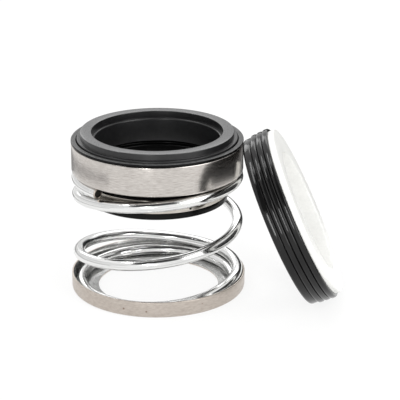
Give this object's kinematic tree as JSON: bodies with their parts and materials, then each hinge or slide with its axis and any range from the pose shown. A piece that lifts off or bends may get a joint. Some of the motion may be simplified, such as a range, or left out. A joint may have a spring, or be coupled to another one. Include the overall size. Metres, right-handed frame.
{
  "type": "component mechanical seal",
  "caption": "Rubber-bellows shaft seal: carbon face ring in a steel-shelled head on an open coil spring and holder, with a ceramic seat in a ribbed rubber cup leaning on it.",
  "frame": {"origin": "on the shaft's axis at the underside of the spring holder", "axes": "+Z along the shaft from the spring holder to the lapped seal face; the loose seat leans on the +X side"},
  "size_m": [0.0858, 0.0671, 0.0539],
  "materials": {
    "holder_steel": "drawn and tumbled",
    "spring_steel": "bright drawn stainless wire",
    "shell_steel": "brushed round the can",
    "bellows_rubber": "moulded, satin",
    "carbon": "turned carbon graphite with a lapped face",
    "alumina": "ground alumina with a lapped face",
    "seat_rubber": "moulded, satin"
  },
  "bodies": {
    "base": {"spring_holder": "holder_steel", "spring": "spring_steel", "seat_ring": "alumina", "seat_cup": "seat_rubber"},
    "head": {"retainer_shell": "shell_steel", "thrust_disc": "holder_steel", "bellows": "bellows_rubber", "primary_ring": "carbon"},
    "tail": {"drive_band": "shell_steel"}
  },
  "joints": [
    {"name": "head_slide", "type": "slide", "parent": "base", "child": "head", "axis": [0, 0, -1], "range_m": [0, 0.022], "stiffness_N_per_m": 6700, "deforming": ["spring"]},
    {"name": "bellows_flex", "type": "slide", "parent": "head", "child": "tail", "axis": [0, 0, 1], "range_m": [-0.0015, 0.0015], "stiffness_N_per_m": 3000, "deforming": ["bellows"]}
  ]
}
